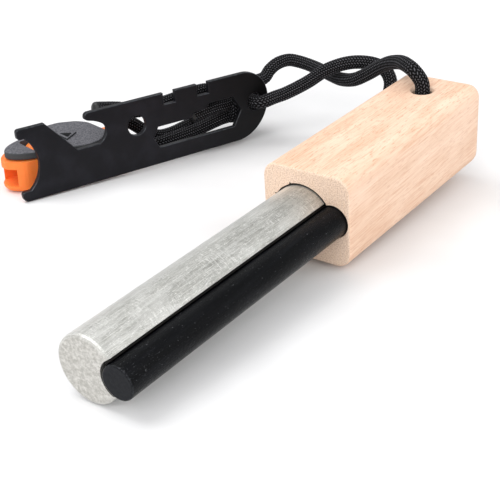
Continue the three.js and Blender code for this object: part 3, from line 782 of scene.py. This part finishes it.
@dataclass(frozen=True)
class BraidedNylon(Finish):
    """Nylon yarn, braided: its yarns' crowns are painted lighter as a painted sheen, and the gaps
    between them near black as painted shade.
    """

    gap_shade: str = "020202"
    # Painted sheen: the yarns' crowns are lighter, by the height of the braid.
    yarn: Tint = Tint("626267", 0.55, 1.0)
    # Real fibres are some 0.03 mm thick, and are drawn coarser so that they show.
    fibres: Pattern = Pattern(even(0.143), 2.0)
    fibre: Tint = Tint("121214", 0.55, 0.75, 0.4)
    relief: float = 0.03

    def material(self) -> bpy.types.Material:
        """Makes the sheath.

        Returns:
            The material.
        """
        shader = Shader("braided_nylon")
        (fibres,) = shader.lay(shader.place(KIT_AXES), self.fibres)
        # The braid's height paints shade into the gaps and sheen onto the crowns.
        tone = shader.tint(self.gap_shade, self.yarn, shader.add(Node.YARN))
        return shader.finish(
            Base_Color=shader.tint(tone, self.fibre, fibres),
            Roughness=0.62,
            Normal=shader.add(Node.BUMP, fibres, self.relief * MM, 0.5),
            IOR=1.5,
            Specular_IOR_Level=0.06,
        )


@dataclass(frozen=True)
class WhitePaper(Finish):
    """Matt paper: faintly mottled, painted grey near the object as painted shade, white away from
    it.
    """

    dark: str = "e2e2e3"
    mottle: Pattern = Pattern(even(71.4), 3.0, 0.55)
    light: Tint = Tint("ededee", 0.35, 0.65)
    # Distances from the middle, in mm, over which the painted shade near the object turns to white.
    away: Tint = Tint(WHITE, 130.0, 270.0)
    lift: Span = Span(160.0, 270.0, 0.0, 0.15)

    def material(self) -> bpy.types.Material:
        """Makes the paper.

        Returns:
            The material.
        """
        shader = Shader("white_paper")
        place = shader.place(FLOOR_AXES)
        (mottle,) = shader.lay(place, self.mottle)
        reach = shader.add(Node.LENGTH, place)
        # Painted shade: the paper is grey near the middle.
        tone = shader.tint(self.dark, self.light, mottle)
        # The backdrop stays white for the camera.
        lift = shader.add(Node.RAMP, reach, *self.lift)
        return shader.finish(
            Base_Color=shader.tint(tone, self.away, reach),
            Roughness=0.9,
            Emission_Color=WHITE,
            Emission_Strength=shader.add(Node.TIMES, lift, shader.add(Node.CAMERA_RAY)),
        )


def paint(name: str, material: bpy.types.Material) -> str:
    """Gives a CAD node its material.

    Args:
        name: Name of the node.
        material: Its new material.

    Returns:
        A line for the report.
    """
    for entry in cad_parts[name].material_slots:
        entry.link = "OBJECT"
        entry.material = material
    return f"{name} is {material.name}"


def as_object(name: str, mesh: bmesh.types.BMesh, smooth: bool = True) -> bpy.types.Object:
    """Turns a bmesh into an object.

    Args:
        name: Name of the object.
        mesh: Its mesh, which is freed.
        smooth: Whether its faces are shaded smooth.

    Returns:
        The object.
    """
    for face in mesh.faces:
        face.smooth = smooth
    data = bpy.data.meshes.new(name)
    mesh.to_mesh(data)
    mesh.free()
    thing = bpy.data.objects.new(name, data)
    bpy.context.scene.collection.objects.link(thing)
    return thing


def spline(points: list[Vector], step: float) -> list[Vector]:
    """Even points on a centripetal curve through the given ones.

    Args:
        points: Points of the route.
        step: Distance between the results.

    Returns:
        Points along the curve, with both ends.
    """
    parts, least_gap = 24, 1e-4
    dense = []
    for index in range(len(points) - 1):
        p1, p2 = points[index], points[index + 1]
        p0 = points[index - 1] if index else p1 * 2 - p2
        p3 = points[index + 2] if index + 2 < len(points) else p2 * 2 - p1
        gaps = [max((b - a).length ** 0.5, least_gap) for a, b in ((p0, p1), (p1, p2), (p2, p3))]
        # Tangents at both ends of this piece of the curve, and its square and cube terms.
        over = (p2 - p1) / gaps[1]
        t1 = ((p1 - p0) / gaps[0] - (p2 - p0) / (gaps[0] + gaps[1]) + over) * gaps[1]
        t2 = (over - (p3 - p1) / (gaps[1] + gaps[2]) + (p3 - p2) / gaps[2]) * gaps[1]
        square = p2 * 3 - p1 * 3 - t1 * 2 - t2
        cube = p1 * 2 - p2 * 2 + t1 + t2
        for part in range(parts):
            s = part / parts
            dense.append(p1 + t1 * s + square * s**2 + cube * s**3)
    dense.append(points[-1])
    lengths = [0.0]
    for a, b in zip(dense, dense[1:]):
        lengths.append(lengths[-1] + (b - a).length)
    count = max(2, round(lengths[-1] / step))
    result, cursor = [], 0
    for number in range(count + 1):
        want = lengths[-1] * number / count
        while cursor < len(lengths) - 2 and lengths[cursor + 1] < want:
            cursor += 1
        span = lengths[cursor + 1] - lengths[cursor]
        result.append(dense[cursor].lerp(dense[cursor + 1], (want - lengths[cursor]) / span))
    return result


def path_length(path: list[Vector]) -> float:
    """Length of a path.

    Args:
        path: Its points.

    Returns:
        The length, in the unit of the points.
    """
    return sum((b - a).length for a, b in zip(path, path[1:]))


def placed(points: Route) -> list[Vector]:
    """Moves points of a route into the frame.


    Returns:
        Points in mm in the frame.
    """
    return [Vector(point) + Vector(KIT_AXES.origin) for point in points]


# From the knot through the striker's end hole, across and under the handle, up through its
# hole, and back over it to the knot.
HANDLE_LOOP: Route = (
    (-63.4, -64.6, 13.2), (-61.7, -57.8, 13.3), (-65.6, -54.4, 14.6), (-67.0, -51.9, 15.7),
    (-69.3, -45.7, 19.5), (-71.4, -38.7, 24.6), (-73.9, -31.7, 27.1), (-76.7, -25.7, 26.7),
    (-77.4, -22.5, 25.1), (-75.6, -19.6, 22.0), (-71.4, -19.7, 13.3), (-66.0, -18.1, 4.8),
    (-64.8, -17.2, 3.9), (-64.0, -16.6, 3.3), (-62.0, -13.6, 2.4), (-60.2, -9.0, 2.15),
    (-59.4, -5.0, 2.15), (-59.3, -2.6, 2.2), (-59.2, -0.8, 3.1), (-58.9, 0.0, 9.0),
    (-58.0, 0.0, 24.5), (-57.7, 0.0, 29.8), (-57.6, -0.6, 31.2), (-57.5, -2.4, 33.2),
    (-59.6, -5.9, 33.9), (-63.2, -10.0, 33.2), (-66.0, -14.7, 31.6), (-68.1, -19.1, 29.2),
    (-69.4, -23.9, 26.0), (-70.8, -29.2, 23.0), (-74.0, -35.6, 21.1), (-78.8, -42.2, 20.0),
    (-82.6, -48.3, 19.6), (-84.5, -53.4, 19.8), (-84.6, -58.1, 20.4), (-82.8, -61.2, 21.0),
    (-78.7, -62.9, 20.6), (-75.7, -63.8, 19.1), (-73.3, -64.3, 17.1), (-68.9, -65.9, 16.6),
)
# From the knot through the whistle's eye and back.
WHISTLE_LOOP: Route = (
    (-62.0, -73.0, 8.6), (-58.8, -74.2, 8.5), (-56.8, -74.5, 8.0), (-52.3, -76.2, 6.5),
    (-48.2, -77.9, 5.3), (-43.9, -79.7, 4.3), (-40.1, -81.4, 4.3), (-36.7, -82.9, 6.0),
    (-32.9, -84.6, 9.5), (-30.4, -86.1, 11.4), (-27.8, -87.4, 11.0), (-26.3, -88.1, 9.3),
    (-25.8, -88.4, 7.0), (-26.3, -88.1, 4.7), (-27.8, -87.4, 3.0), (-29.9, -86.3, 2.3),
    (-32.8, -82.6, 2.7), (-35.3, -78.6, 3.7), (-39.4, -76.4, 4.3), (-44.2, -74.6, 4.8),
    (-48.7, -73.0, 5.4), (-57.2, -69.8, 7.1), (-60.4, -68.7, 7.2),
)
# From the knot along the back of the striker to the cut end.
TAIL: Route = (
    (-60.3, -69.1, 16.3), (-57.1, -70.2, 16.3), (-54.1, -70.1, 17.3), (-48.5, -70.0, 18.8),
    (-41.8, -72.1, 18.5), (-34.3, -74.8, 17.7), (-27.5, -78.0, 16.9), (-21.9, -80.3, 18.8),
    (-17.6, -81.8, 19.8), (-13.8, -83.2, 20.5),
)
# The other cut end, a short one behind the wrench slot.
SHORT_TAIL: Route = (
    (-61.0, -67.5, 12.1), (-56.5, -68.1, 12.0), (-53.0, -68.9, 12.1), (-48.2, -70.2, 11.8),
    (-43.5, -71.8, 11.1),
)


class Assembly(ABC):
    """A part of the scene that main builds and reports."""

    @abstractmethod
    def build(self) -> list[str]:
        """Builds and dresses the pieces.

        Returns:
            A line for the report for each piece.
        """


@dataclass(frozen=True)
class Shot:
    """Camera of the photograph.

    Attributes:
        position: Where the camera stands, in metres.
        right: Direction that points right in the picture.
        up: Direction that points up in the picture.
        lens: Focal length in mm.
        sensor: Width of the sensor in mm.
        nearest: Nearest distance that it sees, in metres.
        side: Side of the square picture, in pixels.
    """

    position: Triple = (0.19757, 0.17660, 0.12201)
    right: Triple = (-0.58751, 0.80887, -0.02380)
    up: Triple = (-0.37262, -0.24431, 0.89525)
    lens: float = 77.786
    sensor: float = 36.0
    nearest: float = 0.01
    side: int = 500


@dataclass(frozen=True)
class Softbox:
    """One square area light, in metres and watts."""

    name: str
    place: Triple
    aim: Triple
    size: float
    watts: float


@dataclass(frozen=True)
class Stage(Assembly):
    """Pale floor, soft lights, even sky and the photograph's camera.

    Attributes:
        shot: The camera.
        lamps: The lights.
        sky: Strength of the white sky.
        floor_half: Half the floor's side, in metres.
        floor_height: Height of the floor, in metres, just below the object.
    """

    shot: Shot = Shot()
    lamps: tuple[Softbox, ...] = (
        Softbox("key", (0.15, -0.35, 0.85), (0.0, 0.0, 0.0), 0.7, 4.6),
        Softbox("side", (-0.15, 0.75, 0.55), (0.0, 0.02, 0.0), 0.8, 2.5),
        Softbox("front", (0.7, 0.25, 0.45), (0.02, 0.02, 0.0), 0.5, 3.0),
    )
    sky: float = 0.68
    floor_half: float = 3.0
    floor_height: float = -0.0002

    def build(self) -> list[str]:
        """Builds the stage.

        Returns:
            A line for the report for each piece.
        """
        self.lay_floor()
        for lamp in self.lamps:
            self.hang(lamp)
        self.light_sky()
        self.set_camera()
        return ["floor", *(f"{lamp.name} lamp, {lamp.watts} W" for lamp in self.lamps), "camera"]

    def lay_floor(self) -> None:
        """Lays the floor."""
        mesh = bmesh.new()
        bmesh.ops.create_grid(mesh, x_segments=1, y_segments=1, size=self.floor_half)
        bmesh.ops.translate(mesh, verts=mesh.verts, vec=(0.0, 0.0, self.floor_height))
        floor = as_object("floor", mesh, smooth=False)
        floor.data.materials.append(WhitePaper().material())

    def hang(self, lamp: Softbox) -> None:
        """Hangs a lamp.

        Args:
            lamp: The lamp.
        """
        data = bpy.data.lights.new(lamp.name, "AREA")
        data.size = lamp.size
        data.energy = lamp.watts
        thing = bpy.data.objects.new(lamp.name, data)
        thing.location = lamp.place
        aim = Vector(lamp.aim) - Vector(lamp.place)
        thing.rotation_euler = aim.to_track_quat("-Z", "Y").to_euler()
        bpy.context.scene.collection.objects.link(thing)

    def light_sky(self) -> None:
        """Lights the white sky."""
        world = bpy.data.worlds.new("sky")
        world.use_nodes = True
        background = world.node_tree.nodes["Background"]
        background.inputs["Color"].default_value = srgb(WHITE)
        background.inputs["Strength"].default_value = self.sky
        bpy.context.scene.world = world

    def set_camera(self) -> None:
        """Sets the camera up, and the picture that it takes."""
        scene, shot = bpy.context.scene, self.shot
        data = bpy.data.cameras.new("photo_camera")
        data.lens = shot.lens
        data.sensor_width = shot.sensor
        data.clip_start = shot.nearest
        camera = bpy.data.objects.new("photo_camera", data)
        right, up = Vector(shot.right).normalized(), Vector(shot.up).normalized()
        back = right.cross(up).normalized()
        turn = Matrix((right, back.cross(right), back)).transposed()
        camera.matrix_world = Matrix.Translation(shot.position) @ turn.to_4x4()
        scene.collection.objects.link(camera)
        scene.camera = camera
        scene.render.resolution_x = shot.side
        scene.render.resolution_y = shot.side
        scene.view_settings.view_transform = "Standard"


@dataclass(frozen=True)
class Braid:
    """Pattern of a braided sheath.

    Attributes:
        carriers: Yarns that wind each way.
        lay: Length in which a yarn winds round once, in mm.
        relief: Height of a yarn over the gaps, in mm.
        sides: Points in a ring.
        step: Distance between rings, in mm.
        edge: How sharply a yarn falls off at its edges.
        dip: Height of a yarn where it goes under another, as a share of its crown.
    """

    carriers: int = 16
    lay: float = 13.0
    relief: float = 0.28
    sides: int = 60
    step: float = 0.25
    edge: float = 2.4
    dip: float = 0.45

    def height(self, turn: float, along: float) -> float:
        """Height of the sheath, from 0 in a gap to 1 on a yarn.

        Args:
            turn: Place round the cord, from 0 to 1.
            along: Place along the cord, in mm.

        Returns:
            The height.
        """
        first = self.carriers * (turn + along / self.lay)
        second = self.carriers * (turn - along / self.lay)
        # Each yarn passes over two of the others and under two.
        crossing = math.floor(first) + math.floor(second)
        across, lengthwise = (first, second) if crossing % 4 < 2 else (second, first)
        aside = abs(2 * (across % 1.0) - 1)
        on_top = (crossing % 2 + lengthwise % 1.0) / 2
        crown = math.sin(math.pi * min(max(on_top, 0.0), 1.0))
        return max(0.0, 1 - aside**self.edge) * (self.dip + (1 - self.dip) * crown)


@dataclass(frozen=True)
class Knot:
    """Knot behind the striker: cord laid along the strands and wrapped round itself and them.

    Attributes:
        axis: Direction of the strands that it holds.
        radius: Radius on which the cord is wrapped, in mm.
        inner: Radius at which its end is tucked in, in mm.
        reach: Half the length of the wraps, in mm.
        lead: Places along the axis of the stretch inside the wraps, in mm.
        turns: Turns on the way out, of wraps, and on the way in.
        points: Points on all these turns.
    """

    centre: Triple = (-65.42, -69.31, 11.65)
    axis: Triple = (-0.94056, 0.33862, 0.02618)
    radius: float = 5.1
    inner: float = 3.0
    reach: float = 4.1
    lead: tuple[float, ...] = (5.4, 3.0, 0.0, -3.0)
    turns: Triple = (0.75, 2.0, 0.5)
    points: int = 72

    def route(self) -> list[Vector]:
        """Route of the cord in the knot.

        Returns:
            Points in mm in the frame.
        """
        axis = Vector(self.axis).normalized()
        side = axis.orthogonal().normalized()
        other = axis.cross(side)
        (centre,) = placed((self.centre,))
        out_turns, wraps, in_turns = self.turns
        tuck = self.radius - self.inner
        route = [centre + axis * place for place in self.lead]
        # The first of the points would lie too close to the stretch inside the wraps.
        for number in range(2, self.points + 1):
            turn = sum(self.turns) * number / self.points
            wrapped = min(max((turn - out_turns) / wraps, 0.0), 1.0)
            tucked = max(0.0, (turn - out_turns - wraps) / in_turns)
            out = min(turn / out_turns, 1.0) * self.radius - tucked * tuck
            angle = FULL_TURN * turn
            across = side * math.cos(angle) + other * math.sin(angle)
            route.append(centre + axis * (self.reach * (2 * wrapped - 1)) + across * out)
        return route


@dataclass(frozen=True)
class Run:
    """A run of cord that is listed by itself.

    Attributes:
        name: Name of its piece.
        nodes: CAD nodes that it replaces.
        far_end: What it ends in.
    """

    name: str
    route: Route
    nodes: tuple[str, ...]
    far_end: FarEnd = FarEnd.KNOT


@dataclass(frozen=True)
class Cordage(Assembly):
    """The cord: two loops and two cut ends that leave one knot.

    Attributes:
        sheath: Material of the braid.
        burnt: Material of the cut ends.
        braid: Pattern of the sheath.
        knot: The knot.
        runs: Runs that are listed by themselves.
        radius: Radius over the yarns, in mm.
        blunt: Length over which a cut end rounds off, in mm.
        tip: Square of the share of the radius that is left at a cut end.
        singed: Distance from a cut end up to which the sheath has melted, in mm.
        sparse: Not used.
    """

    sheath: bpy.types.Material
    burnt: bpy.types.Material
    braid: Braid = Braid()
    knot: Knot = Knot()
    runs: tuple[Run, ...] = (
        Run(
            "handle_loop",
            HANDLE_LOOP,
            ("cord_bottom_strand", "cord_under_handle", "cord_in_handle", "cord_top_strand"),
        ),
        Run("whistle_loop", WHISTLE_LOOP, ("cord_whistle_loop",)),
        Run("tail", TAIL, ("cord_tail",), FarEnd.BARE),
    )
    radius: float = 2.1
    blunt: float = 1.2
    tip: float = 0.02
    singed: float = 2.4
    sparse: int = 4

    def build(self) -> list[str]:
        """Returns:
            A line for the report for each piece.
        """
        step = self.braid.step
        knot = self.strand("knot_wraps", spline(self.knot.route(), step), ("cord_knot",))
        # The other cut end is a short one and is not among the runs.
        short_path = spline(placed(SHORT_TAIL), step)
        short_tail = self.strand("short_tail", short_path, ("cord_second_tail",), cut=True)
        report = ["knot_wraps", f"short_tail is {path_length(short_path):.1f} mm long"]
        for run in self.runs:
            path = spline(placed(run.route), step)
            piece = self.strand(run.name, path, run.nodes, run.far_end is FarEnd.BARE)
            report.append(f"{run.name} is {path_length(path):.1f} mm long")
        return report

    def strand(
        self, name: str, path: list[Vector], nodes: tuple[str, ...], cut: bool = False
    ) -> bpy.types.Object:
        """Builds a stretch of cord in place of its CAD nodes.

        Args:
            name: Name of the piece.
            path: Even points in mm.
            nodes: CAD nodes that it replaces.
            cut: Whether its last end is a cut one.

        Returns:
            The piece.
        """
        piece = as_object(name, self.sleeve(path, self.blunt if cut else 0.0))
        piece.data.materials.append(self.sheath)
        if cut:
            piece.data.materials.append(self.burnt)
            for face in piece.data.polygons:
                if (face.center - path[-1] * MM).length < self.singed * MM:
                    face.material_index = 1
        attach(piece, GRIP)
        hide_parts(*nodes)
        return piece

    def sleeve(self, path: list[Vector], blunt: float) -> bmesh.types.BMesh:
        """A braided tube along a path, closed at both ends.

        Args:
            path: Even points in mm.
            blunt: Length over which the last end rounds off, in mm.

        Returns:
            The mesh, in metres.
        """
        last = len(path) - 1
        tangents = [
            (path[min(i + 1, last)] - path[max(i - 1, 0)]).normalized() for i in range(last + 1)
        ]
        side = tangents[0].orthogonal().normalized()
        total = path_length(path)
        mesh = bmesh.new()
        yarn = mesh.verts.layers.float.new("yarn")
        sides = self.braid.sides
        rings = []
        along = 0.0
        for index, (point, tangent) in enumerate(zip(path, tangents)):
            if index:
                along += (point - path[index - 1]).length
                side = (side - tangent * side.dot(tangent)).normalized()
            other = tangent.cross(side)
            squeeze = 1.0
            if blunt and total - along < blunt:
                squeeze = math.sqrt(max(self.tip, 1 - (1 - (total - along) / blunt) ** 2))
            ring = []
            for number in range(sides):
                turn = number / sides
                height = self.braid.height(turn, along)
                out = (self.radius - self.braid.relief * (1 - height)) * squeeze
                angle = FULL_TURN * turn
                offset = side * math.cos(angle) + other * math.sin(angle)
                vert = mesh.verts.new((point + offset * out) * MM)
                # This height also paints the sheath's gap shade and crown sheen.
                vert[yarn] = height
                ring.append(vert)
            rings.append(ring)
        for first, second in zip(rings, rings[1:]):
            for number in range(sides):
                after = (number + 1) % sides
                mesh.faces.new((first[number], first[after], second[after], second[number]))
        mesh.faces.new(list(reversed(rings[0])))
        mesh.faces.new(rings[-1])
        return mesh


@dataclass(frozen=True)
class Mouth:
    """Mouth of a rod's socket in the handle's front face.

    Attributes:
        aside: Where its centre lies across the handle, in mm.
        rise: Where its centre lies in height, in mm.
        radius: Radius of the rod, in mm.
        ragged: How far glue was squeezed out at its top, from 0 to 1.
    """

    aside: float
    rise: float
    radius: float
    ragged: float


@dataclass(frozen=True)
class Grip(Assembly):
    """Handle with its two rods and their glue.

    Attributes:
        epoxy: Material of the glue.
        wood: What the handle is made of.
        filed: What the magnesium rod is made of.
        dipped: What the ferro rod is made of.
        mouths: Mouths of the two sockets.
        section: Corners of the rim's section: mm before the front face and out of the rod.
        steps: Steps round each rim.
        seed: Seed of the rim's chips.
        squeezed_at: Direction in which the magnesium rod's glue was squeezed out.
        outer: Distance out of the rod beyond which a corner frays, in mm.
        pulled_in: Distance by which the frayed corners are pulled in, in mm.
        swell: Least width of the glue that was squeezed out, in mm.
        spike: Length of the longest spikes, in mm.
        spiked: Chips above this become spikes.
        around: Steps to each side over which the chips are evened out.
        least: Evened chips above this swell the rim.
        lumps: How much they swell it, in mm.
        order: Direction along which the rim's faces are put in order.
    """

    epoxy: bpy.types.Material
    wood: Finish = SandedRubberwood()
    filed: Finish = FiledMagnesium()
    dipped: Finish = LacqueredFerrocerium()
    mouths: tuple[Mouth, ...] = (Mouth(-1.1, -0.35, 8.0, 1.0), Mouth(7.5, 0.1, 4.0, 0.0))
    section: tuple[tuple[float, float], ...] = (
        (-0.6, 0.04), (0.05, 0.06), (0.07, 1.0), (-0.6, 1.05),
    )
    steps: int = 160
    seed: int = 7
    squeezed_at: float = math.radians(125)
    outer: float = 0.5
    pulled_in: float = 0.9
    swell: float = 0.25
    spike: float = 0.9
    spiked: float = 0.9
    around: int = 2
    least: float = 0.4
    lumps: float = 0.5
    order: Triple = (1.0, 0.62, 0.37)

    def build(self) -> list[str]:
        """Builds the rim of glue and dresses the handle, the rods and the glue.

        Returns:
            A line for the report for each piece.
        """
        rim = as_object("glue_rim", self.rim())
        rim.data.materials.append(self.epoxy)
        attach(rim, GRIP)
        return [
            "glue_rim",
            paint("handle", self.wood.material()),
            paint("magnesium_rod", self.filed.material()),
            paint("ferro_rod", self.dipped.material()),
            paint("seam_glue", self.epoxy),
            paint("socket_glue", self.epoxy),
        ]

    def rim(self) -> bmesh.types.BMesh:
        """Spins the ragged rim of glue where the rods enter the handle.

        Returns:
            The mesh, in metres.
        """
        dice = random.Random(self.seed)
        mesh = bmesh.new()
        corners = len(self.section)
        for mouth in self.mouths:
            chips = [dice.random() for _ in range(self.steps)]
            profile = [
                mesh.verts.new((ahead, mouth.radius + out, 0.0)) for ahead, out in self.section
            ]
            edges = [
                mesh.edges.new((profile[k], profile[(k + 1) % corners])) for k in range(corners)
            ]
            before = {*mesh.verts} - {*profile}
            bmesh.ops.spin(
                mesh,
                geom=profile + edges,
                cent=(0.0, 0.0, 0.0),
                axis=(1.0, 0.0, 0.0),
                angle=FULL_TURN,
                steps=self.steps,
                use_merge=True,
            )
            ring = [vert for vert in mesh.verts if vert not in before]
            for vert in ring:
                self.fray(vert, mouth, chips)
            bmesh.ops.translate(mesh, verts=ring, vec=(0.0, mouth.aside, mouth.rise))
        bmesh.ops.recalc_face_normals(mesh, faces=mesh.faces)
        bmesh.ops.transform(mesh, matrix=GRIP_AXES.to_frame(), verts=mesh.verts)
        # A spin leaves its faces in an order that changes from run to run.
        order = Vector(self.order)
        mesh.faces.sort(key=lambda face: face.calc_center_median().dot(order))
        return mesh

    def fray(self, vert: bmesh.types.BMVert, mouth: Mouth, chips: list[float]) -> None:
        """Moves a point of the rim's outer edge in or out.

        Args:
            vert: The point.
            mouth: The mouth that it lies round.
            chips: A random number for each step round the rim.
        """
        away = math.hypot(vert.co.y, vert.co.z)
        if away <= mouth.radius + self.outer:
            return
        angle = math.atan2(vert.co.z, vert.co.y)
        number = round(angle / FULL_TURN * self.steps)
        near = range(number - self.around, number + self.around + 1)
        soft = sum(chips[step % self.steps] for step in near) / len(near)
        shown = mouth.ragged * max(0.0, math.cos(angle - self.squeezed_at))
        spike = self.spike * soft if chips[number % self.steps] > self.spiked else 0.0
        width = self.swell + self.lumps * max(0.0, soft - self.least) + spike
        out = away - mouth.radius - self.pulled_in + shown * width
        vert.co.yz = vert.co.yz * (mouth.radius + out) / away


@dataclass(frozen=True)
class Striker(Assembly):
    """Flat steel plate with its tool cut-outs.

    Attributes:
        finish: What the plate is made of.
    """

    finish: Finish = CoatedSteel()

    def build(self) -> list[str]:
        """Dresses the plate and returns a line for the report."""
        return [paint("striker", self.finish.material())]


@dataclass(frozen=True)
class Whistle(Assembly):
    """Whistle of two mouldings.

    Attributes:
        body: What its body is made of.
        cover: What its cover is made of.
    """

    body: Finish = ORANGE_ABS
    cover: Finish = GREY_ABS

    def build(self) -> list[str]:
        """Dresses the body and the cover.

        Returns:
            A line for the report for each.
        """
        return [
            paint("whistle_body", self.body.material()),
            paint("whistle_cover", self.cover.material()),
        ]


def main() -> None:
    """Builds the scene part by part and reports each piece."""
    epoxy = SET_EPOXY.material()
    cordage = Cordage(BraidedNylon().material(), MELTED_NYLON.material())
    for assembly in (Stage(), cordage, Grip(epoxy), Striker(), Whistle()):
        for line in assembly.build():
            LOG.info("%s: %s", type(assembly).__name__, line)


if __name__ == "__main__":
    main()
